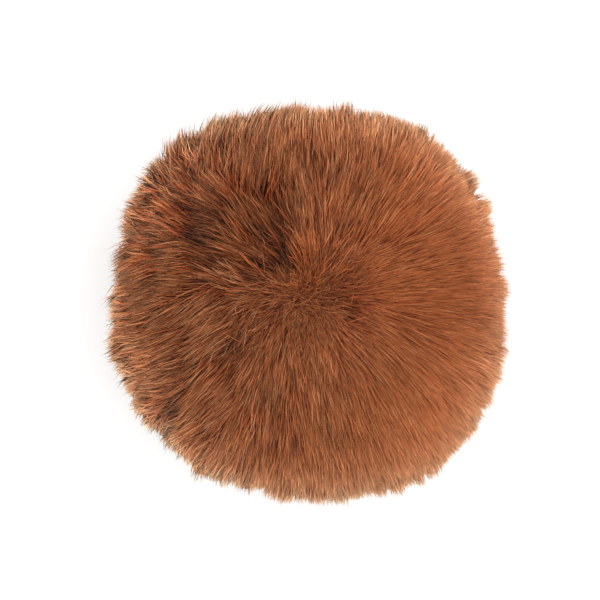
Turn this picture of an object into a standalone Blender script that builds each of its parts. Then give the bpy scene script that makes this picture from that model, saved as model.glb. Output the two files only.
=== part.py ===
"""A long-pile fur pom pom, 120 mm across, lying on its drawn-in back with its crown up.

One solid: a lumpy ball, the dense fur, with curved locks of pile rooted in it. The locks part at
the crown and lean away from it, down the sides. Under the ball they are shorter and lie out along
the floor. The origin is the middle of the flat spot under the ball, and +Z runs through the crown.
"""

import math
import random

import bmesh
import bpy
from mathutils import Vector

# Sizes over the tips of the locks, in metres.
BALL_WIDTH = 0.1230
BALL_HEIGHT = 0.1020
WIDEST_LEVEL = 0.0480
TIPS_BELOW = 0.0620

# The dense fur that the locks stand on: how far its face lies inside the tips at the crown and
# sides, and how far it reaches below the widest level, past the floor, which cuts its flat spot.
LOCK_RISE = 0.0110
CORE_BELOW = 0.0502
CORE_SIDES = 24
CORE_RINGS = 14

# Seen from above the outline is a rounded square, a little uneven. Each row is one wave around
# it: its number of lobes, its height as a share of the radius, and the bearing of its first lobe.
OUTLINE_WAVES = (
    {"lobes": 1, "height": 0.007, "bearing": -85.0},
    {"lobes": 2, "height": 0.010, "bearing": -35.5},
    {"lobes": 3, "height": 0.011, "bearing": -55.7},
    {"lobes": 4, "height": 0.024, "bearing": -44.0},
)

# Soft lumps in the dense fur: waves around it and from crown to floor, their height and a turn.
FUR_LUMPS = (
    {"around": 5, "down": 3, "height": 0.0008, "turn": 20.0},
    {"around": 8, "down": 6, "height": 0.0006, "turn": 75.0},
    {"around": 13, "down": 9, "height": 0.0004, "turn": 140.0},
)

# The locks of pile: how many, their section at full size, and how unlike each other they are.
LOCK_COUNT = 286
LOCK_WIDTH = 0.0082
LOCK_THICKNESS = 0.0042
RIDGE_SHARE = 0.62
LEAST_SIZE = 0.86
LONGER = 0.0003
SHORTER = 0.0018
PLACE_SPREAD = 0.0009
SWAY = 2.0
TWIST = 14.0
LAST_TWISTED = math.radians(120.0)
SEED = 7

# The steps of one lock: the share of its rise, its size there, and its share of the lean.
LOCK_STEPS = (
    {"along": -0.30, "size": 0.90, "lean": -0.10},
    {"along": 0.28, "size": 1.00, "lean": 0.13},
    {"along": 0.62, "size": 0.80, "lean": 0.42},
    {"along": 0.86, "size": 0.42, "lean": 0.74},
    {"along": 1.00, "size": 0.00, "lean": 1.00},
)

# How far the tip of a lock lies past its root, away from the crown, both in degrees from it.
# Under the ball the tips turn back, out along the floor.
LEAN_OF_LOCKS = (
    {"root": 0.0, "lean": 1.0},
    {"root": 12.0, "lean": 7.0},
    {"root": 26.0, "lean": 12.5},
    {"root": 70.0, "lean": 14.0},
    {"root": 105.0, "lean": 9.0},
    {"root": 132.0, "lean": 0.0},
    {"root": 162.0, "lean": -13.0},
)

FUR_COLOUR = (0.300, 0.111, 0.053, 1.0)
GOLDEN_ANGLE = math.pi * (3.0 - math.sqrt(5.0))
CENTRE = Vector((0.0, 0.0, WIDEST_LEVEL))
WELD = 0.00001


def clear_scene():
    """Removes every object that is in the file."""
    for obj in list(bpy.data.objects):
        bpy.data.objects.remove(obj, do_unlink=True)


def new_collection(name):
    """A collection under the scene's own."""
    made = bpy.data.collections.new(name)
    bpy.context.scene.collection.children.link(made)
    return made


def direction(polar, bearing):
    """The unit vector at an angle from the crown and a bearing around it."""
    across = math.sin(polar)
    return Vector((across * math.cos(bearing), across * math.sin(bearing), math.cos(polar)))


def outline_share(bearing):
    """How far the outline lies out at a bearing, as a share of its mean radius."""
    share = 1.0
    for wave in OUTLINE_WAVES:
        share += wave["height"] * math.cos(wave["lobes"] * (bearing - math.radians(wave["bearing"])))
    return share


def ellipsoid_distance(polar, bearing, inset, below):
    """The distance from the centre to a squashed ball whose plan follows the outline."""
    across = BALL_WIDTH / 2 * outline_share(bearing) - inset
    above = BALL_HEIGHT - WIDEST_LEVEL - inset
    upright = above if polar < math.pi / 2 else below
    return 1.0 / math.hypot(math.sin(polar) / across, math.cos(polar) / upright)


def tip_distance(polar, bearing):
    """The distance from the centre to the tips of the locks."""
    return ellipsoid_distance(polar, bearing, 0.0, TIPS_BELOW)


def core_distance(polar, bearing):
    """The distance from the centre to the face of the dense fur, lumps and all."""
    lumps = 0.0
    for lump in FUR_LUMPS:
        turn = math.radians(lump["turn"])
        around = math.cos(lump["around"] * bearing + turn)
        lumps += lump["height"] * around * math.cos(lump["down"] * polar + turn)
    return ellipsoid_distance(polar, bearing, LOCK_RISE, CORE_BELOW) + lumps * math.sin(polar)


def lean_at(polar):
    """The lean of a lock rooted at this angle from the crown, read from the table."""
    root = math.degrees(polar)
    for low, high in zip(LEAN_OF_LOCKS, LEAN_OF_LOCKS[1:]):
        if root <= high["root"]:
            share = (root - low["root"]) / (high["root"] - low["root"])
            return math.radians(low["lean"] + share * (high["lean"] - low["lean"]))
    return math.radians(LEAN_OF_LOCKS[-1]["lean"])


def make_core(collection):
    """The dense fur: a ball drawn out to its face, then cut level at the floor."""
    bm = bmesh.new()
    bmesh.ops.create_uvsphere(bm, u_segments=CORE_SIDES, v_segments=CORE_RINGS, radius=1.0)
    for vert in bm.verts:
        polar = math.acos(max(-1.0, min(1.0, vert.co.z)))
        bearing = math.atan2(vert.co.y, vert.co.x)
        vert.co = CENTRE + direction(polar, bearing) * core_distance(polar, bearing)
    whole = bm.verts[:] + bm.edges[:] + bm.faces[:]
    cut = bmesh.ops.bisect_plane(
        bm, geom=whole, dist=WELD, plane_co=(0.0, 0.0, 0.0), plane_no=(0.0, 0.0, -1.0), clear_outer=True
    )
    rim = [item for item in cut["geom_cut"] if isinstance(item, bmesh.types.BMEdge)]
    bmesh.ops.contextual_create(bm, geom=rim)
    bmesh.ops.recalc_face_normals(bm, faces=bm.faces)
    mesh = bpy.data.meshes.new("fur_ball")
    bm.to_mesh(mesh)
    bm.free()
    core = bpy.data.objects.new("fur_ball", mesh)
    collection.objects.link(core)
    return core


def lock_roots(rng):
    """The angle from the crown and the bearing of each root, spread evenly over the ball."""
    last = math.cos(math.radians(LEAN_OF_LOCKS[-1]["root"]))
    for number in range(LOCK_COUNT):
        height = 1.0 - (number + 0.5) / LOCK_COUNT * (1.0 - last)
        polar = math.acos(height)
        bearing = number * GOLDEN_ANGLE
        reach = core_distance(polar, bearing)
        shift = rng.uniform(-PLACE_SPREAD, PLACE_SPREAD) / reach
        turn = rng.uniform(-PLACE_SPREAD, PLACE_SPREAD) / (reach * math.sin(polar))
        yield polar + shift, bearing + turn


def lock_points(polar, bearing, rng):
    """The points along one lock, each with its size, from inside the dense fur to the tip."""
    lean = lean_at(polar)
    sway = math.radians(rng.uniform(-SWAY, SWAY)) * math.sin(polar)
    spread = rng.uniform(-SHORTER, LONGER)
    full = rng.uniform(LEAST_SIZE, 1.0)
    for step in LOCK_STEPS:
        here = polar + lean * step["lean"]
        round_here = bearing + sway * step["lean"]
        inner = core_distance(here, round_here)
        outer = tip_distance(here, round_here) + spread
        reach = inner + (outer - inner) * step["along"]
        point = CENTRE + direction(here, round_here) * reach
        size = full * step["size"]
        # A lock that meets the floor lies level on it, on the flat side of its section.
        point.z = max(point.z, LOCK_THICKNESS * (1.0 - RIDGE_SHARE) * size)
        yield point, size


def make_lock_section(collection):
    """The section of a lock at full size: a flat side towards the ball and a ridge outside."""
    section = bpy.data.curves.new("lock_section", "CURVE")
    section.dimensions = "2D"
    ridge = LOCK_THICKNESS * RIDGE_SHARE
    flat_side = ridge - LOCK_THICKNESS
    corners = ((LOCK_WIDTH / 2, flat_side), (0.0, ridge), (-LOCK_WIDTH / 2, flat_side))
    spline = section.splines.new("POLY")
    spline.points.add(len(corners) - 1)
    for point, (across, deep) in zip(spline.points, corners):
        point.co = (across, deep, 0.0, 1.0)
    spline.use_cyclic_u = True
    obj = bpy.data.objects.new("lock_section", section)
    obj.hide_render = True
    collection.objects.link(obj)
    return obj


def make_locks(collection):
    """All the locks: tapered curves of the one section, made a mesh with a point at each tip."""
    rng = random.Random(SEED)
    section = make_lock_section(collection)
    curve = bpy.data.curves.new("lock_lines", "CURVE")
    curve.dimensions = "3D"
    curve.twist_mode = "Z_UP"
    curve.bevel_mode = "OBJECT"
    curve.bevel_object = section
    curve.use_fill_caps = True
    for polar, bearing in lock_roots(rng):
        points = list(lock_points(polar, bearing, rng))
        twist = math.radians(rng.uniform(-TWIST, TWIST)) if polar < LAST_TWISTED else 0.0
        spline = curve.splines.new("POLY")
        spline.points.add(len(points) - 1)
        for target, (place, size) in zip(spline.points, points):
            target.co = (*place, 1.0)
            target.radius = size
            target.tilt = twist
    lines = bpy.data.objects.new("lock_lines", curve)
    collection.objects.link(lines)
    graph = bpy.context.evaluated_depsgraph_get()
    mesh = bpy.data.meshes.new_from_object(lines.evaluated_get(graph))
    bm = bmesh.new()
    bm.from_mesh(mesh)
    bmesh.ops.remove_doubles(bm, verts=bm.verts, dist=WELD)
    bmesh.ops.recalc_face_normals(bm, faces=bm.faces)
    bm.to_mesh(mesh)
    bm.free()
    bpy.data.objects.remove(lines, do_unlink=True)
    locks = bpy.data.objects.new("locks_of_pile", mesh)
    locks.hide_render = True
    locks.display_type = "WIRE"
    collection.objects.link(locks)
    return locks


def fur_material():
    """Rust brown pile."""
    material = bpy.data.materials.new("fur_pile")
    material.use_nodes = True
    shader = material.node_tree.nodes["Principled BSDF"]
    shader.inputs["Base Color"].default_value = FUR_COLOUR
    shader.inputs["Roughness"].default_value = 0.75
    shader.inputs["Metallic"].default_value = 0.0
    return material


def main():
    clear_scene()
    parts = new_collection("fur_pom_pom")
    guides = new_collection("guides")
    core = make_core(parts)
    locks = make_locks(guides)
    join = core.modifiers.new("roots", "BOOLEAN")
    join.operation = "UNION"
    join.solver = "EXACT"
    join.object = locks
    core.data.materials.append(fur_material())
    core.data.shade_smooth()


main()
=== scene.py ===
from types import SimpleNamespace

import bpy
import numpy as np
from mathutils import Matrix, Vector


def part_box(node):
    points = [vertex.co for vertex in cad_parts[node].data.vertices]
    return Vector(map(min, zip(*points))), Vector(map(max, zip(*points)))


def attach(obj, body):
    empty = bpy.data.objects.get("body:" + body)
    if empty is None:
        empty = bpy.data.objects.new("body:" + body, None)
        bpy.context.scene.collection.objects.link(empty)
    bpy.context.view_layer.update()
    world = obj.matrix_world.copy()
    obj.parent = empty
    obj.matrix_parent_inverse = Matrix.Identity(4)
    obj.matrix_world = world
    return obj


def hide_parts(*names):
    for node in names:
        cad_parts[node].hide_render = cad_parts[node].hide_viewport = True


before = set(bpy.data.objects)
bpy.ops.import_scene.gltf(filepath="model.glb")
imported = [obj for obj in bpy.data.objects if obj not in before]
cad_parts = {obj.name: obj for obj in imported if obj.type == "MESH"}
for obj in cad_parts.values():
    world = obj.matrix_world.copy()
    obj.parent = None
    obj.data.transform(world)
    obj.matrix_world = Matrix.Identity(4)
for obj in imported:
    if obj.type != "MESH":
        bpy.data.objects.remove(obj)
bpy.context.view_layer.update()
print("frame loaded")

# the shape of the ball, in metres, and the ways of its pile by degrees from the crown
ball = {
    "top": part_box("fur_ball")[1].z,
    "tipRadius": 0.0624,       # mean radius at the widest level, out to the last of the tips
    "middle": 0.0480,          # height of the widest level
    "tipsBelow": 0.0620,       # how far the tips would reach below the middle without a floor
    "clearance": 0.0003,       # the lowest strands stay this far above the floor
    "outline": (               # lobes, height as a share of the radius, bearing of the first lobe
        (1, 0.007, -85.0), (2, 0.010, -35.0), (3, 0.010, -55.0), (4, 0.024, -45.0),
    ),
    "bulges": (                # soft ones on that outline: bearing, half-width in degrees, height
        (60.0, 14.0, 0.022), (103.0, 9.0, -0.014), (164.0, 12.0, -0.018), (198.0, 8.0, -0.016),
        (282.0, 8.0, -0.010), (309.0, 8.0, 0.012), (340.0, 7.0, -0.010),
    ),
    "crownFrom": (-0.15, 0.02, 1.0),     # the pile parts along a short line across the crown
    "crownTo": (0.06, 0.04, 1.0),
    "leanAt": (0.0, 10.0, 26.0, 60.0, 80.0, 105.0, 132.0, 162.0, 180.0),     # degrees from the crown
    "lean": (8.0, 10.5, 15.0, 15.0, 11.5, 8.0, 0.0, -11.0, -12.0),           # degrees away from it
    # painted light and shade by degrees from the crown: the darker crown is painted shade of the deep pile
    # seen end on, and the lighter, paler band near the rim is a painted glow of light through the thin tips
    "paintedShadeAndLightAt": (0.0, 20.0, 38.0, 55.0, 68.0, 85.0, 102.0, 180.0),            # degrees from the crown
    "tone": (-0.23, -0.22, -0.19, -0.12, 0.18, 0.67, 0.26, 0.05),            # how much lighter there
    "warmth": (0.7, 0.8, 1.2, 0.9, -0.7, -3.5, -1.2, -0.3),                  # and how much warmer
}
middlePoint = np.array([0.0, 0.0, ball["middle"]])

# places on the upper side, in shares of the radius as seen from above, each a soft band from one
# point to another: how far the pile opens there and shows its depth, how much lighter or darker
# it is, and how much warmer or paler. Most of the lighter and darker tones are painted light and
# painted shade
places = (   # right, up, to right, to up, half-width, open, tone, warmth
    # dark partings and hollows: the pile opens there, and their dark tone is painted shade in the depth
    (-0.13, 0.22, -0.18, 0.56, 0.085, 1.0, -0.54, 0.5),
    (-0.20, 0.56, -0.32, 0.78, 0.035, 0.9, -0.40, 0.2),
    (-0.22, 0.26, -0.36, 0.50, 0.080, 0.7, -0.34, 0.2),
    (-0.20, 0.21, -0.56, 0.22, 0.036, 0.9, -0.50, 0.4),
    (-0.59, 0.36, -0.63, 0.50, 0.066, 1.2, -1.00, 0.2),
    (-0.79, 0.22, -0.84, 0.36, 0.045, 0.9, -0.46, 0.2),
    (-0.84, 0.06, -0.92, 0.12, 0.050, 0.5, -0.28, 0.0),
    (-0.68, -0.51, -0.70, -0.58, 0.065, 1.2, -1.15, 0.2),
    (0.03, 0.12, 0.20, 0.10, 0.100, 0.0, -0.10, 0.3),
    (0.15, 0.02, 0.28, -0.14, 0.040, 0.6, -0.30, 0.2),
    (-0.22, -0.05, -0.32, -0.03, 0.040, 0.6, -0.16, 0.2),
    (-0.30, -0.14, -0.46, -0.34, 0.045, 0.7, -0.30, 0.0),
    (-0.03, -0.14, -0.06, -0.50, 0.025, 0.6, -0.28, 0.0),
    (-0.16, -0.50, -0.20, -0.74, 0.035, 0.6, -0.26, 0.0),
    (-0.52, 0.60, -0.68, 0.74, 0.050, 0.0, -0.06, 0.0),
    (0.37, 0.58, 0.43, 0.66, 0.025, 0.5, -0.20, 0.0),
    (0.36, 0.27, 0.46, 0.31, 0.020, 0.5, -0.16, 0.0),
    (-0.22, -0.30, -0.27, -0.62, 0.025, 0.5, -0.24, 0.0),
    (-0.62, -0.10, -0.80, -0.16, 0.030, 0.4, -0.14, 0.0),
    (-0.32, 0.32, -0.46, 0.48, 0.020, 0.5, -0.20, 0.0),
    (0.02, 0.62, 0.03, 0.80, 0.030, 0.5, -0.20, 0.0),
    # lighter locks between them, with painted light on their ridges
    (-0.02, 0.10, -0.02, 0.30, 0.060, -0.2, 0.20, 0.8),
    (-0.36, 0.50, -0.52, 0.38, 0.060, -0.2, 0.14, 0.3),
    (-0.68, 0.42, -0.74, 0.48, 0.045, 0.0, 0.16, 1.0),
    # painted light near the rim: lighter, paler pile where the key light falls from the right and light
    # shows through the thin tips
    (0.86, 0.46, 0.94, 0.10, 0.090, 0.0, 0.20, -0.1),
    (0.58, 0.72, 0.84, 0.50, 0.130, 0.0, 0.25, -0.4),
    (0.00, 0.94, 0.50, 0.84, 0.110, 0.0, 0.32, -0.6),
    (0.48, -0.70, 0.80, -0.34, 0.200, 0.0, 0.28, -0.3),
    (-0.30, -0.92, 0.50, -0.84, 0.100, 0.0, 0.10, -0.2),
    # broad faint tints: the darker ones on the left are painted shade away from the key light, the lighter
    # ones on the right painted light
    (-0.60, -0.10, -0.40, -0.62, 0.200, 0.0, 0.00, -0.4),
    (-0.50, 0.34, -0.46, 0.66, 0.230, 0.0, -0.19, 0.2),
    (-0.84, 0.44, -0.90, 0.00, 0.120, 0.0, -0.10, 0.4),
    (0.25, 0.30, 0.56, 0.56, 0.180, 0.0, 0.14, 0.2),
    (0.30, 0.04, 0.44, 0.02, 0.120, 0.0, 0.08, 0.2),
    (0.00, 0.58, 0.02, 0.72, 0.120, 0.0, -0.12, 0.3),
    (0.10, -0.20, -0.10, -0.26, 0.120, 0.0, 0.08, 0.0),
    (0.30, 0.05, 0.74, 0.10, 0.360, 0.0, -0.04, 0.7),
    (0.02, -0.12, 0.26, 0.04, 0.130, 0.0, -0.10, 0.2),
    (0.12, 0.12, 0.32, 0.32, 0.130, 0.0, -0.09, 0.2),
    (-0.24, -0.26, -0.42, -0.42, 0.150, 0.0, -0.06, 0.3),
    (-0.66, 0.12, -0.64, -0.32, 0.180, 0.0, -0.13, 0.1),
    (0.62, 0.02, 0.80, -0.10, 0.150, 0.0, -0.08, 0.0),
)
mostClosed = -0.3     # the least and the most that the places open the pile where they overlap
mostOpen = 1.2

# where the pile turns off its way out from the crown, to its left or right
turns = (   # right, up, half-width, degrees to the left
    (-0.45, 0.34, 0.26, 26.0), (0.62, -0.45, 0.30, -16.0),
    (-0.28, 0.44, 0.09, 12.0), (-0.10, 0.42, 0.06, -10.0),
)

# the left is tousled and the right is smooth: how tousled it is in the middle, how much more to
# the right and towards the top of the outline, and the least
tousled = {"middle": 0.50, "right": -0.60, "up": 0.20, "least": 0.12}


def unit(vectors):
    return vectors / np.maximum(np.linalg.norm(vectors, axis=-1, keepdims=True), 1e-12)


crownFrom = unit(np.array(ball["crownFrom"]))
crownTo = unit(np.array(ball["crownTo"]))


def nearest(directions, others):
    # the number of the nearest of the others to each direction
    return np.argmax(directions.astype(np.float32) @ others.T.astype(np.float32), axis=1)


def spiralDirections(count, rng, jitter, lowest, crowding):
    # a golden-angle spiral from the top down to height `lowest` on a unit ball, closer together
    # towards the top where `crowding` is over 1, and each moved sideways by up to `jitter` of
    # the spacing there; also gives that spacing
    turn = np.arange(count)
    share = (turn + 0.5) / count
    height = 1.0 - share**crowding * (1.0 - lowest)
    across = np.sqrt(1.0 - height**2)
    bearing = turn * np.pi * (3.0 - np.sqrt(5.0))
    spiral = np.stack([across * np.cos(bearing), across * np.sin(bearing), height], axis=1)
    spacing = np.sqrt(2.0 * np.pi * (1.0 - lowest) / count * crowding * share ** (crowding - 1.0))
    return unit(spiral + rng.uniform(-1, 1, (count, 3)) * (jitter * spacing)[:, None]), spacing


def waves(directions, fineness, seed, count=7):
    # a smooth field over the ball: the sum of a few cosines that run in random directions, each
    # 0.7 to 1.4 times as fine as `fineness`, scaled to a spread of about 0.7
    rng = np.random.default_rng(seed)
    runs = unit(rng.normal(size=(count, 3))) * fineness * rng.uniform(0.7, 1.4, (count, 1))
    phase = rng.uniform(0, 2 * np.pi, count)
    return np.cos(directions @ runs.T + phase).sum(axis=-1) / np.sqrt(count)


def upperShare(directions):
    # 1 on the upper side, and down to 0 between just above the widest level and just below it
    return np.clip(directions[:, 2] * 4.0 + 0.4, 0, 1)


def placeFields(directions):
    # the sums of the soft places at each direction: how open, how light, how warm. Each place
    # adds its heights times exp(-(distance from its line / half-width)^2)
    spot = directions[:, :2]
    fields = np.zeros((len(directions), 3))
    for right, up, toRight, toUp, half, *heights in places:
        run = np.array([toRight - right, toUp - up])
        share = np.clip((spot - (right, up)) @ run / (run @ run), 0, 1)
        away = spot - (right, up) - share[:, None] * run
        fields += np.exp(-(away**2).sum(axis=1) / half**2)[:, None] * heights
    fields *= upperShare(directions)[:, None]
    return np.clip(fields[:, 0], mostClosed, mostOpen), fields[:, 1], fields[:, 2]


def turnField(directions):
    # how far the pile turns off its way out from the crown, in radians to its left: the sum of
    # the turns, each times exp(-(distance / half-width)^2)
    turn = np.zeros(len(directions))
    for right, up, half, degrees in turns:
        away = directions[:, :2] - (right, up)
        turn += np.radians(degrees) * np.exp(-(away**2).sum(axis=1) / half**2)
    return turn * upperShare(directions)


def tousleAt(directions):
    share = tousled["middle"] + tousled["right"] * directions[:, 0] + tousled["up"] * directions[:, 1]
    return np.clip(share, tousled["least"], 1.0)


def reach(directions, inset, below):
    # distance from the ball's middle to a squashed ball: one half-height above, one below,
    # and the plan radius times 1 + sum(h cos(n (bearing - b))) + each bulge's exp(-(turn / half)^2)
    bearing = np.arctan2(directions[..., 1], directions[..., 0])
    share = 1.0 + sum(h * np.cos(n * (bearing - np.radians(b))) for n, h, b in ball["outline"])
    for place, half, height in ball["bulges"]:
        turn = np.degrees(np.arccos(np.clip(np.cos(bearing - np.radians(place)), -1, 1)))
        share += height * np.exp(-((turn / half) ** 2))
    across = ball["tipRadius"] * share - inset
    up = directions[..., 2]
    upright = np.where(up > 0, ball["top"] - ball["middle"] - inset, below - inset)
    flat = np.sqrt(np.maximum(1.0 - up**2, 0.0))
    return 1.0 / np.sqrt((flat / across) ** 2 + (up / upright) ** 2)


def floorReach(directions, clearance):
    # distance from the ball's middle to a level just above the floor
    return (ball["middle"] - clearance) / np.maximum(-directions[..., 2], 1e-6)


def flowFrame(directions):
    # at each direction: its angle from the crown line, the way that the pile lies (away from
    # that line along the ball), and the way across it
    run = crownTo - crownFrom
    share = np.clip((directions - crownFrom) @ run / (run @ run), 0, 1)
    near = unit(crownFrom + share[:, None] * run)
    cosine = (directions * near).sum(axis=1)
    away = unit(directions * cosine[:, None] - near)
    return np.arccos(np.clip(cosine, -1, 1)), away, np.cross(directions, away)


def leanAt(angle):
    # how far the pile leans away from the crown line, in radians
    return np.radians(np.interp(np.degrees(angle), ball["leanAt"], ball["lean"]))


def turnAtTips(roots):
    # the turn where the tips lie of the pile that is rooted at each direction
    angle, away, _ = flowFrame(roots)
    lean = leanAt(angle)[:, None]
    return turnField(np.cos(lean) * roots + np.sin(lean) * away)


def strandMesh(name, rings, widths, softness, cellUse=0.8, cellTall=3.2):
    # rings: strands x steps x 3 points from root to tip. The root and the tip are single points
    # and each step between them is a triangle round the path: a closed strand of 3 sides
    strands, steps, _ = rings.shape
    chord = unit(rings[:, -1] - rings[:, 0])
    side = unit(np.cross(chord, rings[:, 0] - middlePoint + 1e-9))
    lift = np.cross(chord, side)
    turn = np.arange(3) * 2 * np.pi / 3 + np.pi / 2
    section = np.cos(turn)[:, None] * side[:, None, :] + np.sin(turn)[:, None] * lift[:, None, :]
    body = rings[:, 1:-1, None, :] + section[:, None, :, :] * widths[:, 1:-1, None, None] / 2
    points = np.concatenate([rings[:, :1], body.reshape(strands, -1, 3), rings[:, -1:]], axis=1)
    perStrand = points.shape[1]

    corners = []
    sizes = []
    cell = []
    rows = np.linspace(0, 1, steps)
    for step in range(steps - 1):
        for k in range(3):
            # this corner of the ring at the start of the step, and the next corner round it
            here = 3 * step + k - 2
            after = 3 * step + (k + 1) % 3 - 2
            if step == 0:
                corners += [0, after + 3, here + 3]
                cell += [(0.5, 0.0), (1, rows[1]), (0, rows[1])]
                sizes.append(3)
            elif step < steps - 2:
                corners += [here, after, after + 3, here + 3]
                cell += [(0, rows[step]), (1, rows[step]), (1, rows[step + 1]), (0, rows[step + 1])]
                sizes.append(4)
            else:
                corners += [here, after, perStrand - 1]
                cell += [(0, rows[step]), (1, rows[step]), (0.5, 1.0)]
                sizes.append(3)
    corners = np.array(corners)
    sizes = np.array(sizes)
    cell = np.array(cell, float)

    loops = (np.arange(strands)[:, None] * perStrand + corners).ravel()
    firsts = np.concatenate([[0], np.cumsum(sizes)[:-1]])
    starts = (np.arange(strands)[:, None] * len(corners) + firsts).ravel()
    mesh = bpy.data.meshes.new(name)
    mesh.vertices.add(strands * perStrand)
    mesh.vertices.foreach_set("co", points.astype(np.float32).ravel())
    mesh.loops.add(len(loops))
    mesh.loops.foreach_set("vertex_index", loops.astype(np.int32))
    mesh.polygons.add(len(starts))
    mesh.polygons.foreach_set("loop_start", starts.astype(np.int32))
    mesh.update(calc_edges=True)
    mesh.shade_smooth()
    # soft shading: each normal is part way from the strand's own side to straight out of the ball
    outward = unit(points - middlePoint)
    tipWay = unit(rings[:, -1:] - rings[:, -2:-1])
    around = np.concatenate([outward[:, :1], np.tile(section, (1, steps - 2, 1)), tipWay], axis=1)
    share = softness[:, None, None]
    normals = unit(around * (1 - share) + outward * share)
    mesh.normals_split_custom_set_from_vertices(normals.reshape(-1, 3).astype(np.float32))

    # each strand has its own cell of the map, `cellTall` times as tall as wide, with its length
    # up the cell
    across = int(np.ceil(np.sqrt(strands * cellTall)))
    tall = int(np.ceil(strands / across))
    spot = np.stack([np.arange(strands) % across, np.arange(strands) // across], axis=1)
    inside = (1 - cellUse) / 2 + cell * cellUse
    mapSpots = (spot[:, None, :] + inside) / np.array([across, tall])
    mesh.uv_layers.new(name="OFBake").data.foreach_set("uv", mapSpots.astype(np.float32).ravel())
    return mesh, perStrand


def addValues(mesh, name, values):
    layer = mesh.attributes.new(name, "FLOAT", "POINT")
    layer.data.foreach_set("value", values.astype(np.float32).ravel())


def addPiece(name, mesh, material):
    piece = bpy.data.objects.new(name, mesh)
    bpy.context.scene.collection.objects.link(piece)
    mesh.materials.append(material)
    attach(piece, "root")
    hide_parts("fur_ball")
    return piece


# the locks that the whole pile gathers into: broad ones as wide as a fingertip, and in them
# small ones as wide as a grain of rice is long. Of two values, the first is for the top and the
# second for the rim. Lengths are in metres
locks = {
    "seed": 3,                 # for their own lengths, turns and colours
    "jitter": 0.5,             # how far they stand off an even spread, in shares of their spacing
    "broad": 300, "broadSeed": 11,
    "broadPull": 0.40,         # how far the tips of a broad lock draw together where it is tousled
    "broadSway": (26.0, 6.0, 5),    # degrees off the flow, fineness and seed of their swing
    "broadUneven": 0.0020,     # how much shorter some are than others
    "small": 1700, "smallSeed": 12,
    "smallPull": (0.30, 0.70),   # how far the tips of a small lock draw together
    "smallSway": 5.0,          # degrees
    "smallUneven": (0.0006, 0.0013),
    "smallLimit": 1.6,         # and no more than this many times that
    "smallPoint": (0.0010, 0.0033),   # how much shorter its strands are a spacing from its middle
    "smallPointLess": 0.2,     # less this share of it everywhere
    "lowest": -0.955,          # the pile ends here, round the drawn-in back
    "crowding": 1.45,          # over 1 the pile stands closer on the top than underneath
}
broadRoots, _ = spiralDirections(
    locks["broad"], np.random.default_rng(locks["broadSeed"]), locks["jitter"], locks["lowest"], 1.0
)
smallRoots, smallSpacing = spiralDirections(
    locks["small"], np.random.default_rng(locks["smallSeed"]), locks["jitter"], locks["lowest"],
    locks["crowding"],
)

# the drawn-up ball under the pile, in metres
backing = {
    "inset": 0.0090,           # its face lies this far inside the tips
    "below": 0.0502,           # and reaches this far below the middle, past the floor
    "openDepth": 0.0028,       # deeper where the pile opens
    "rooted": 0.0010,          # the strands start this far inside its face
    "clearance": 0.0002,
    "lumps": (0.0006, 22, 9),  # height, fineness and seed of its lumps
    "rings": 48, "around": 96,
}


def backingReach(directions):
    # how far its face lies from the middle: inside the tips, and deeper where the pile opens
    face = reach(directions, backing["inset"], backing["below"] + backing["inset"])
    return face - backing["openDepth"] * np.clip(placeFields(directions)[0], 0, mostOpen)


# the ways that all kinds of pile share. Where two rows are given, the first is degrees from the
# crown, if nothing else is said, and the second is the value there
growth = {
    "jitter": 0.6,                                    # how far tufts stand off an even spread
    "rim": ((45, 65), (0.0, 1.0)),                    # how far the pile follows the ways of the rim
    "loose": ((0, 4, 9, 14), (1.0, 0.6, 0.2, 0.0)),   # how far its tufts stand every way,
    "looseSway": 110,                                 # by this many degrees
    "crossing": ((0, 10, 20, 30), (0.45, 0.22, 0.05, 0.0)),   # the share of strands that cross others,
    "crossingSway": 50,                               # by this many degrees
    "swirls": ((10, 3.6, 5), (9, 9.0, 15)),           # degrees, fineness and seed of its swirls
    "crownSwirl": (16, 11.0, 25),                     # and of one that fades out from the crown
    "crownSwirlShare": ((0, 15, 35), (1.0, 0.5, 0.0)),
    "swayBase": 0.4,                                  # each of the three bases, plus how tousled it
    "unevenBase": 0.2,                                # is, scales the sways, the tufts' unevenness
    "ridgeBase": 0.04,                                # and the ridges
    "leastPull": 0.3,                                 # the smooth top's share of the pull into locks,
    "leastUneven": 0.1,                               # and of their unevenness
    "leanPower": 1.15, "risePower": 1.1,              # how the lean and the rise grow along a strand,
    "lockPower": 1.8, "tuftPower": 2.2,               # and the pull into locks and into tufts
    "leanSpread": 0.22, "leanLimits": (0.4, 1.7),     # how the lean varies, as a share
    "hollows": (0.0010, 10.0, 6),                     # depth in metres, fineness and seed,
    "hollowRise": -0.3,                               # and the most that it rises between, as a share
    "ridges": ((0.0008, 28.0, 7), (0.0007, 56.0, 9)),   # height in metres, fineness and seed
    "ridgeRun": 0.3,                                  # how fast ridges change down the flow
    "rough": (0.5, 0.9, 0.6),                         # base, more if tousled, less at the rim
    "insetLimits": (-0.0022, 0.0105),                 # how far a tip may lie inside the outline
    "pull": (0.4, 0.9),                               # into tufts: base, more at the rim
    "pullSpread": (0.4, 1.3), "mostPull": 0.8,
    "taper": ((0, 0.75, 1), (1.0, 0.95, 0.0)),        # shares of the length, and of the width there
    "crownWidth": ((0, 20), (0.8, 1.0)),
    "width": (0.85, 0.3, 0.3),                        # base, more if tousled, more at the rim
    "widthSpread": (0.75, 1.2),
    "softness": (0.90, 0.35),                         # of the shading: most, less if tousled
    "thinPower": 1.1,                                 # thinned kinds stand where it is tousled,
    "thinTop": ((4, 18), (0.15, 1.0)),                # few at the crown
    "thinRim": ((62, 80), (1.0, 0.4)),                # and fewer at the rim
}

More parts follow.
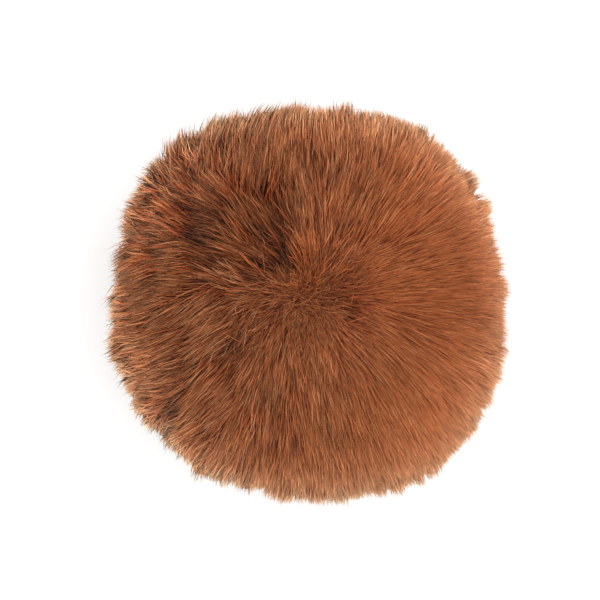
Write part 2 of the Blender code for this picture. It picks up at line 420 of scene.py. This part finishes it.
# how the colour varies: tones are shares of its lightness
shades = {
    "broadTone": 0.06, "smallTone": 0.09, "tuftTone": 0.02,   # from lock to lock and tuft to tuft
    "strandTone": (0.18, 0.70),                       # from strand to strand: base, more if tousled
    "strandLimits": (-1.6, 2.2),                      # and no further than this many times that
    "broadWarmth": 0.10, "strandWarmth": 0.18,
    "warmWave": (0.10, 5.0, 17),                      # warmth, fineness and seed
    "paleWarmth": -2.4,                               # pale strands are less warm by this
}


def topToRim(values, rimShare):
    # from the first of two values on the top to the second at the rim
    return np.interp(rimShare, [0, 1], values)


def atLeast(least, share):
    # from `least` where the share is 0 to 1 where it is 1
    return least + (1 - least) * share


def strandPaths(roots, sway, leanShare, inset, along):
    # paths from roots in the backing to tips `inset` inside the outline. Each leans over by its
    # lean x along^leanPower, turned off the flow by `sway`, and rises by 1 - (1 - along)^risePower
    angle, away, across = flowFrame(roots)
    lean = leanAt(angle) * leanShare
    heading = np.cos(sway)[:, None] * away + np.sin(sway)[:, None] * across
    turn = lean[:, None] * along ** growth["leanPower"]
    toward = np.cos(turn)[..., None] * roots[:, None] + np.sin(turn)[..., None] * heading[:, None]
    floor = floorReach(toward, ball["clearance"])
    outer = np.minimum(reach(toward, 0.0, ball["tipsBelow"]), floor)
    tip = outer[:, -1:] - inset[:, None]
    root = backingReach(roots)[:, None] - backing["rooted"]
    rise = 1 - (1 - along) ** growth["risePower"]
    distance = np.minimum(root + (tip - root) * rise, floor)
    return middlePoint + toward * distance[..., None]


def fullPaths(roots, sway, along):
    # the same with the plain lean, out to the outline
    return strandPaths(roots, sway, np.ones(len(roots)), np.zeros(len(roots)), along)


def rootTufts(kind, rng):
    # the roots of the tufts and of their strands, and the ways of the pile there
    count = kind["tufts"]
    each = (count, kind["perTuft"])
    roots, spacing = spiralDirections(count, rng, growth["jitter"], locks["lowest"], locks["crowding"])
    # the strands of a tuft stand in a small disc round its root
    angle = rng.uniform(0, 2 * np.pi, each)
    out = np.sqrt(rng.uniform(0, 1, each))
    fromCrown, away, across = flowFrame(roots)
    fromCrown = np.degrees(fromCrown)
    offset = np.cos(angle)[..., None] * away[:, None] + np.sin(angle)[..., None] * across[:, None]
    strandRoots = unit(roots[:, None] + offset * (out * spacing[:, None] * kind["spread"])[..., None])
    return SimpleNamespace(
        count=count, roots=roots, strandRoots=strandRoots.reshape(-1, 3), away=away, fromCrown=fromCrown,
        broadOf=nearest(roots, broadRoots), smallOf=nearest(roots, smallRoots), tousle=tousleAt(roots),
        rimShare=np.interp(fromCrown, *growth["rim"]), loose=np.interp(fromCrown, *growth["loose"]),
    )


def layTufts(kind, tufts, rng, lockRng):
    # how the tufts lie: their sway off the flow, and the shift that draws them into their locks
    along = np.array(kind["steps"])
    roots = tufts.roots
    tousle = tufts.tousle
    # near the crown they stand every way, further out they follow the flow
    swirl = np.zeros(tufts.count)
    for turn, fine, seed in growth["swirls"]:
        swirl += np.radians(turn) * waves(roots, fine, seed) * tousle
    turn, fine, seed = growth["crownSwirl"]
    crownShare = np.interp(tufts.fromCrown, *growth["crownSwirlShare"])
    swirl += np.radians(turn) * waves(roots, fine, seed) * crownShare
    smallTurn = np.radians(locks["smallSway"]) * lockRng.normal(size=locks["small"])[tufts.smallOf]
    swayShare = growth["swayBase"] + tousle
    sway = turnAtTips(roots) + swirl + smallTurn * swayShare
    sway += np.radians(kind["tuftSway"]) * swayShare * rng.normal(size=tufts.count)
    sway += np.radians(growth["looseSway"]) * tufts.loose * rng.normal(size=tufts.count)
    paths = fullPaths(roots, sway, along)

    turn, fine, seed = locks["broadSway"]
    broadTurn = np.radians(turn) * waves(broadRoots, fine, seed) + turnAtTips(broadRoots)
    broadPath = fullPaths(broadRoots, broadTurn, along)
    turn, fine, seed = growth["swirls"][0]
    smallTurn = np.radians(turn) * waves(smallRoots, fine, seed) * tousleAt(smallRoots)
    smallPath = fullPaths(smallRoots, smallTurn + turnAtTips(smallRoots), along)
    smallPull = topToRim(locks["smallPull"], tufts.rimShare) * (1 - tufts.loose)
    smallPull *= atLeast(growth["leastPull"], np.maximum(tousle, tufts.rimShare))
    toTip = (along ** growth["lockPower"])[None, :, None]
    shift = (smallPath[tufts.smallOf] - paths) * smallPull[:, None, None] * toTip
    broadPull = locks["broadPull"] * tousle * (1 - tufts.loose)
    shift += (broadPath[tufts.broadOf] - paths - shift) * broadPull[:, None, None] * toTip
    # the locks gather sideways, and each tuft stays as long as it was
    outward = unit(paths[:, -1] - middlePoint)
    shift -= (shift * outward[:, None]).sum(axis=-1, keepdims=True) * outward[:, None]
    tufts.sway = sway
    tufts.shift = shift
    # where their upper parts are seen, and how tousled, open, light and warm it is there
    seen = unit(0.5 * paths[:, 0] + 0.5 * (paths[:, -1] + shift[:, -1]) - middlePoint)
    tufts.seenFrom = np.degrees(flowFrame(seen)[0])
    tufts.tousle = tousleAt(seen)
    tufts.open, tufts.light, tufts.warm = placeFields(seen)


def trimTufts(kind, tufts, rng, lockRng):
    # how far the tips of the tufts lie inside the outline, and their paths with that
    roots = tufts.roots
    tousle = tufts.tousle
    uneven = kind["tuftUneven"] * (growth["unevenBase"] + tousle)
    inset = kind["inset"] + uneven * rng.normal(size=tufts.count)
    depth, fine, seed = growth["hollows"]
    inset += depth * tousle * np.maximum(waves(roots, fine, seed), growth["hollowRise"])
    down = np.radians(tufts.fromCrown) * growth["ridgeRun"]
    downFlow = np.stack([tufts.away[:, 0], tufts.away[:, 1], down], axis=1)
    ridges = sum(height * waves(downFlow, fine, seed) for height, fine, seed in growth["ridges"])
    inset += ridges * (growth["ridgeBase"] + tousle)
    inset += locks["broadUneven"] * lockRng.uniform(0, 1, locks["broad"])[tufts.broadOf] * tousle
    lockShare = atLeast(growth["leastUneven"], np.maximum(tousle, tufts.rimShare))
    limit = locks["smallLimit"]
    smallUneven = np.clip(lockRng.normal(size=locks["small"])[tufts.smallOf], -limit, limit)
    inset += topToRim(locks["smallUneven"], tufts.rimShare) * lockShare * smallUneven
    offCentre = np.linalg.norm(roots - smallRoots[tufts.smallOf], axis=1) / smallSpacing[tufts.smallOf]
    pointed = topToRim(locks["smallPoint"], tufts.rimShare) * lockShare
    inset += pointed * (offCentre**2 - locks["smallPointLess"]) + kind["openDepth"] * tufts.open
    tufts.inset = inset
    ones = np.ones(tufts.count)
    tufts.paths = strandPaths(roots, tufts.sway, ones, inset, np.array(kind["steps"])) + tufts.shift


def growStrands(kind, tufts, rng):
    # the paths, widths and softness of the strands in each tuft
    perTuft = kind["perTuft"]
    each = (tufts.count, perTuft)
    along = np.array(kind["steps"])
    tousle = tufts.tousle
    spread = np.radians(kind["strandSway"]) * (growth["swayBase"] + tousle)
    sway = tufts.sway[:, None] + spread[:, None] * rng.normal(size=each)
    crossing = kind["crossing"] * np.interp(tufts.fromCrown, *growth["crossing"])[:, None]
    crossing = rng.uniform(0, 1, each) < crossing
    sway += np.radians(growth["crossingSway"]) * crossing * rng.normal(size=each)
    leanShare = np.clip(1 + growth["leanSpread"] * rng.normal(size=each), *growth["leanLimits"])
    base, ifTousled, atRim = growth["rough"]
    rough = kind["uneven"] * (base + ifTousled * tousle) * (1 - atRim * tufts.rimShare)
    inset = tufts.inset[:, None] + rough[:, None] * rng.normal(size=each)
    inset = np.clip(inset, *growth["insetLimits"])
    strands = strandPaths(tufts.strandRoots, sway.ravel(), leanShare.ravel(), inset.ravel(), along)
    strands = strands.reshape(*each, len(along), 3) + tufts.shift[:, None]

    base, atRim = growth["pull"]
    pull = kind["pull"] * (base + tousle + atRim * tufts.rimShare)[:, None, None]
    pull = pull * rng.uniform(*growth["pullSpread"], (tufts.count, 1, 1)) * along ** growth["tuftPower"]
    strands += (tufts.paths[:, None] - strands) * np.minimum(pull, growth["mostPull"])[..., None]
    strands += rng.normal(size=strands.shape) * (kind["frizz"] * along)[:, None]
    strands[..., 2] = np.maximum(strands[..., 2], ball["clearance"])

    rings = strands.reshape(-1, len(along), 3)
    base, ifTousled, atRim = growth["width"]
    wide = np.interp(tufts.fromCrown, *growth["crownWidth"]) * (base + ifTousled * tousle)
    wide *= 1 + atRim * tufts.rimShare
    spread = rng.uniform(*growth["widthSpread"], (len(rings), 1))
    widths = kind["width"] * wide.repeat(perTuft)[:, None] * spread * np.interp(along, *growth["taper"])
    most, ifTousled = growth["softness"]
    return rings, widths, (most - ifTousled * tousle).repeat(perTuft)


def shadeStrands(kind, tufts, rng, lockRng):
    # the tone and the warmth of each strand, painted light and shade among them
    each = (tufts.count, kind["perTuft"])
    tousle = tufts.tousle
    tone = shades["broadTone"] * lockRng.normal(size=locks["broad"])[tufts.broadOf] * tousle
    tone += shades["smallTone"] * lockRng.normal(size=locks["small"])[tufts.smallOf] * tousle
    # painted shade at the crown and painted light near the rim, by degrees from the crown, plus the painted
    # shade and light of the places
    paintedShadeAndLight = np.interp(tufts.seenFrom, ball["paintedShadeAndLightAt"], ball["tone"])
    tone += shades["tuftTone"] * rng.normal(size=tufts.count) + tufts.light + paintedShadeAndLight
    pale = rng.uniform(0, 1, each) < kind["paleShare"] * tousle[:, None]
    base, ifTousled = shades["strandTone"]
    vary = (base + ifTousled * tousle)[:, None] * np.clip(rng.normal(size=each), *shades["strandLimits"])
    tone = (1 + tone)[:, None] * (1 + kind["lighter"] + vary + kind["paler"] * pale) - 1

    # the painted light by degrees from the crown also turns the rim paler
    warmth = tufts.warm + np.interp(tufts.seenFrom, ball["paintedShadeAndLightAt"], ball["warmth"])
    amount, fine, seed = shades["warmWave"]
    lockWarmth = shades["broadWarmth"] * lockRng.normal(size=locks["broad"])[tufts.broadOf] * tousle
    warmth += lockWarmth + amount * waves(tufts.roots, fine, seed)
    warmth = warmth[:, None] + shades["strandWarmth"] * rng.normal(size=each) + shades["paleWarmth"] * pale
    return tone.ravel(), warmth.ravel()


def growPile(kind):
    # one kind of strand over the whole ball: paths, widths, softness, tones, warmths and roots
    rng = np.random.default_rng(kind["seed"])
    lockRng = np.random.default_rng(locks["seed"])
    tufts = rootTufts(kind, rng)
    layTufts(kind, tufts, rng, lockRng)
    trimTufts(kind, tufts, rng, lockRng)
    rings, widths, softness = growStrands(kind, tufts, rng)
    tone, warmth = shadeStrands(kind, tufts, rng, lockRng)
    grown = [rings, widths, softness, tone, warmth, tufts.strandRoots]
    if kind["thinned"]:
        share = tufts.tousle ** growth["thinPower"] * np.interp(tufts.fromCrown, *growth["thinTop"])
        share = share * np.interp(tufts.fromCrown, *growth["thinRim"])
        stays = (rng.uniform(0, 1, tufts.count) < share).repeat(kind["perTuft"])
        grown = [values[stays] for values in grown]
    print(kind["name"], "grown:", len(grown[0]), "strands")
    return grown


furColours = {
    "root": (0.100, 0.021, 0.0075, 1), "rootTo": 0.15,     # up to this share of a strand's length
    "body": (0.237, 0.0545, 0.0174, 1), "bodyAt": 0.62,    # and at this share
    "tip": (0.455, 0.1750, 0.0680, 1),
    "darkest": (0.02, 0.006, 0.003),
    "warm": (0.05, -0.085, -0.20),     # what one unit of warmth adds to each channel, as a share
    "mottle": 0.05,                    # how much lighter and darker its patches are
    "mottleScale": 62.0, "mottleDetail": 2.0,
    "mottleRange": (0.3, 0.7),         # the part of the noise that they run through
}
pileFinish = {"roughness": 0.6, "specular": 0.1}
backingFinish = {"along": 0.2, "roughness": 0.9, "specular": 0.1}     # coloured as strands near their roots


def newMaterial(name):
    material = bpy.data.materials.new(name)
    material.use_nodes = True
    nodes = material.node_tree.nodes
    return material, nodes, material.node_tree.links, nodes["Principled BSDF"]


def furColourGroup():
    # colour by the height along a strand, times its tone, turned warmer or paler, with soft
    # patches a fingertip wide
    group = bpy.data.node_groups.new("furColour", "ShaderNodeTree")
    for socket in ("Along", "Tone", "Warmth"):
        group.interface.new_socket(socket, in_out="INPUT", socket_type="NodeSocketFloat")
    group.interface.new_socket("Color", in_out="OUTPUT", socket_type="NodeSocketColor")
    nodes = group.nodes
    links = group.links
    given = nodes.new("NodeGroupInput")
    made = nodes.new("NodeGroupOutput")

    ramp = nodes.new("ShaderNodeValToRGB")
    ramp.color_ramp.elements[0].color = furColours["root"]
    ramp.color_ramp.elements[0].position = furColours["rootTo"]
    ramp.color_ramp.elements[1].color = furColours["tip"]
    ramp.color_ramp.elements.new(furColours["bodyAt"]).color = furColours["body"]
    links.new(given.outputs["Along"], ramp.inputs["Fac"])

    place = nodes.new("ShaderNodeTexCoord")
    patches = nodes.new("ShaderNodeTexNoise")
    patches.inputs["Scale"].default_value = furColours["mottleScale"]
    patches.inputs["Detail"].default_value = furColours["mottleDetail"]
    links.new(place.outputs["Object"], patches.inputs["Vector"])
    swing = nodes.new("ShaderNodeMapRange")
    swing.inputs["From Min"].default_value = furColours["mottleRange"][0]
    swing.inputs["From Max"].default_value = furColours["mottleRange"][1]
    swing.inputs["To Min"].default_value = -furColours["mottle"]
    swing.inputs["To Max"].default_value = furColours["mottle"]
    links.new(patches.outputs["Fac"], swing.inputs["Value"])

    # brightness: 1 + tone + patches
    bright = nodes.new("ShaderNodeMath")
    bright.operation = "ADD"
    links.new(given.outputs["Tone"], bright.inputs[0])
    links.new(swing.outputs["Result"], bright.inputs[1])
    whole = nodes.new("ShaderNodeMath")
    whole.operation = "ADD"
    whole.inputs[1].default_value = 1.0
    links.new(bright.outputs["Value"], whole.inputs[0])
    scaled = nodes.new("ShaderNodeVectorMath")
    scaled.operation = "SCALE"
    links.new(ramp.outputs["Color"], scaled.inputs[0])
    links.new(whole.outputs["Value"], scaled.inputs["Scale"])

    # hue: each channel times 1 + warmth x its share, and no darker than the darkest
    shares = nodes.new("ShaderNodeVectorMath")
    shares.operation = "SCALE"
    shares.inputs[0].default_value = furColours["warm"]
    links.new(given.outputs["Warmth"], shares.inputs["Scale"])
    hue = nodes.new("ShaderNodeVectorMath")
    hue.operation = "ADD"
    hue.inputs[1].default_value = (1.0, 1.0, 1.0)
    links.new(shares.outputs["Vector"], hue.inputs[0])
    tinted = nodes.new("ShaderNodeVectorMath")
    tinted.operation = "MULTIPLY"
    links.new(scaled.outputs["Vector"], tinted.inputs[0])
    links.new(hue.outputs["Vector"], tinted.inputs[1])
    kept = nodes.new("ShaderNodeVectorMath")
    kept.operation = "MAXIMUM"
    kept.inputs[1].default_value = furColours["darkest"]
    links.new(tinted.outputs["Vector"], kept.inputs[0])
    links.new(kept.outputs["Vector"], made.inputs["Color"])
    return group


furColour = furColourGroup()


def furMaterial(name, finish):
    # the fur colour over a plain shader; gives the group's node too
    material, nodes, links, shader = newMaterial(name)
    colour = nodes.new("ShaderNodeGroup")
    colour.node_tree = furColour
    links.new(colour.outputs["Color"], shader.inputs["Base Color"])
    shader.inputs["Roughness"].default_value = finish["roughness"]
    shader.inputs["Specular IOR Level"].default_value = finish["specular"]
    return material, colour


def pileMaterial():
    material, colour = furMaterial("furPile", pileFinish)
    for socket, name in (("Along", "along"), ("Tone", "tone"), ("Warmth", "warmth")):
        value = material.node_tree.nodes.new("ShaderNodeAttribute")
        value.attribute_name = name
        material.node_tree.links.new(value.outputs["Fac"], colour.inputs[socket])
    return material


def backingMaterial():
    material, colour = furMaterial("denseUnderfur", backingFinish)
    colour.inputs["Along"].default_value = backingFinish["along"]
    return material


def makeBacking(material):
    # rings of points at the backing's reach, joined by quads, with a fan of triangles at each pole
    rings = backing["rings"]
    around = backing["around"]
    polar = np.linspace(0, np.pi, rings + 1)[1:-1]
    bearing = np.arange(around) * 2 * np.pi / around
    down, turn = np.meshgrid(polar, bearing, indexing="ij")
    directions = np.stack([np.sin(down) * np.cos(turn), np.sin(down) * np.sin(turn), np.cos(down)], axis=-1)
    flat = directions.reshape(-1, 3)
    distance = np.minimum(backingReach(flat), floorReach(flat, backing["clearance"]))
    height, fine, seed = backing["lumps"]
    distance += height * waves(flat, fine, seed) * np.maximum(flat[:, 2] + 0.5, 0)    # none near the floor
    points = middlePoint + flat * distance[:, None]
    points[:, 2] = np.maximum(points[:, 2], backing["clearance"])
    topPoint = middlePoint + np.array([0, 0, ball["top"] - ball["middle"] - backing["inset"]])
    bottomPoint = np.array([0, 0, backing["clearance"]])
    verts = np.concatenate([points, [topPoint], [bottomPoint]])
    ring = np.arange((rings - 2) * around).reshape(rings - 2, around)
    after = np.roll(ring, -1, axis=1)
    quads = np.stack([ring, ring + around, after + around, after], axis=-1).reshape(-1, 4)
    first = np.arange(around)
    last = first + (rings - 2) * around
    top = np.stack([np.full(around, len(points)), first, np.roll(first, -1)], axis=1)
    bottom = np.stack([np.full(around, len(points) + 1), np.roll(last, -1), last], axis=1)
    mesh = bpy.data.meshes.new("furBacking")
    mesh.from_pydata(verts.tolist(), [], quads.tolist() + top.tolist() + bottom.tolist())
    mesh.shade_smooth()
    piece = addPiece("furBacking", mesh, material)


makeBacking(backingMaterial())
print("backing made")

# the four kinds of strand. A kind has tufts of `perTuft` strands, each with its points at `steps`
# along it. Lengths are in metres: how far its tips lie inside the outline and how unevenly, by
# tuft and by strand, and how much further where the pile opens. The sways are degrees off the flow
longFur = {
    "name": "longFur", "seed": 21, "bands": ("longFurTop", "longFurSide", "longFurLow"),
    "tufts": 10500, "perTuft": 9, "steps": (0.0, 0.56, 1.0),
    "spread": 0.9,                            # radius of a tuft at its roots, in shares of the spacing
    "width": 0.00029,
    "inset": 0.0026, "tuftUneven": 0.0003, "uneven": 0.0006, "openDepth": 0.0046,
    "tuftSway": 5.0, "strandSway": 8.0,
    "crossing": 1.0,                          # how many strands near the crown cross the others
    "pull": 0.20, "frizz": 0.00014,           # how far a tuft draws together, how much points stray
    "lighter": -0.03,
    "paleShare": 0.14, "paler": 0.7,          # how many strands are pale, and by how much
    "thinned": False,
}
underfur = {
    "name": "underfur", "seed": 31, "bands": ("underfurTop", "underfurSide", "underfurLow"),
    "tufts": 9000, "perTuft": 5, "steps": (0.0, 0.55, 1.0),
    "spread": 0.9,
    "width": 0.00035,
    "inset": 0.0040, "tuftUneven": 0.0003, "uneven": 0.0007, "openDepth": 0.0036,
    "tuftSway": 8.0, "strandSway": 10.0,
    "crossing": 1.0,
    "pull": 0.15, "frizz": 0.00014,
    "lighter": -0.08,
    "paleShare": 0.10, "paler": 0.7,
    "thinned": False,
}
guardHair = {
    "name": "guardHair", "seed": 51, "bands": ("guardHair",),
    "tufts": 60000, "perTuft": 1, "steps": (0.0, 0.72, 1.0),
    "spread": 0.9,
    "width": 0.00019,
    "inset": 0.0022, "tuftUneven": 0.0006, "uneven": 0.0006, "openDepth": 0.0044,
    "tuftSway": 9.0, "strandSway": 0.0,
    "crossing": 0.3,
    "pull": 0.0, "frizz": 0.00014,
    "lighter": -0.22,
    "paleShare": 0.60, "paler": 1.0,
    "thinned": True,
}
strayHair = {
    "name": "strayHair", "seed": 43, "bands": ("strayHair",),
    "tufts": 600, "perTuft": 1, "steps": (0.0, 0.4, 0.7, 0.88, 1.0),
    "spread": 0.0,
    "width": 0.00017,
    "inset": 0.0016, "tuftUneven": 0.0006, "uneven": 0.0003, "openDepth": 0.0,
    "tuftSway": 10.0, "strandSway": 0.0,
    "crossing": 0.0,
    "pull": 0.0, "frizz": 0.00020,
    "lighter": 0.1,
    "paleShare": 0.6, "paler": 0.8,
    "thinned": True,
}


def addPile(kind, material):
    # one piece for each band of the ball, from the top down
    rings, widths, softness, tone, warmth, roots = growPile(kind)
    along = np.array(kind["steps"])
    order = np.argsort(-roots[:, 2], kind="stable")
    alongPoints = np.concatenate([along[:1], np.repeat(along[1:-1], 3), along[-1:]])
    for bandName, members in zip(kind["bands"], np.array_split(order, len(kind["bands"]))):
        mesh, perStrand = strandMesh(bandName, rings[members], widths[members], softness[members])
        addValues(mesh, "along", np.tile(alongPoints, len(members)))
        addValues(mesh, "tone", np.repeat(tone[members], perStrand))
        addValues(mesh, "warmth", np.repeat(warmth[members], perStrand))
        addPiece(bandName, mesh, material)
        mesh.calc_loop_triangles()
        print(bandName, len(mesh.loop_triangles), "triangles")


pile = pileMaterial()
for kind in (longFur, underfur, guardHair, strayHair):
    addPile(kind, pile)

# floor, light and camera
studio = {
    "floorSize": 4.0,
    "floorColour": (0.93, 0.93, 0.93, 1), "floorRoughness": 0.9,
    "lens": 121.6,
    "distance": 0.600,                   # from the camera to the widest level
    "aim": (-0.0027, 0.0006),
    "keyPlace": (0.60, 0.02, 0.66), "keyAim": (0, 0, 0.05), "keySize": 1.0, "keyPower": 3.3,
    "surround": 1.42,
}


def makeStudio():
    scene = bpy.context.scene
    half = studio["floorSize"] / 2
    mesh = bpy.data.meshes.new("floor")
    corners = [(-half, -half, 0), (half, -half, 0), (half, half, 0), (-half, half, 0)]
    mesh.from_pydata(corners, [], [(0, 1, 2, 3)])
    floor = bpy.data.objects.new("floor", mesh)
    scene.collection.objects.link(floor)
    material, _, _, shader = newMaterial("paleFloor")
    shader.inputs["Base Color"].default_value = studio["floorColour"]
    shader.inputs["Roughness"].default_value = studio["floorRoughness"]
    mesh.materials.append(material)

    world = bpy.data.worlds.new("studio")
    scene.world = world
    world.use_nodes = True
    back = world.node_tree.nodes["Background"]
    back.inputs["Color"].default_value = (1, 1, 1, 1)
    back.inputs["Strength"].default_value = studio["surround"]

    key = bpy.data.lights.new("keyLight", "AREA")
    key.size = studio["keySize"]
    key.energy = studio["keyPower"]
    keyObject = bpy.data.objects.new("keyLight", key)
    keyObject.location = studio["keyPlace"]
    aim = Vector(studio["keyAim"]) - keyObject.location
    keyObject.rotation_euler = aim.to_track_quat("-Z", "Y").to_euler()
    scene.collection.objects.link(keyObject)

    camera = bpy.data.cameras.new("camera")
    camera.lens = studio["lens"]
    camera.clip_start = 0.01
    cameraObject = bpy.data.objects.new("camera", camera)
    cameraObject.location = (*studio["aim"], ball["middle"] + studio["distance"])
    scene.collection.objects.link(cameraObject)
    scene.camera = cameraObject
    scene.view_settings.view_transform = "Standard"


makeStudio()
print("studio ready")
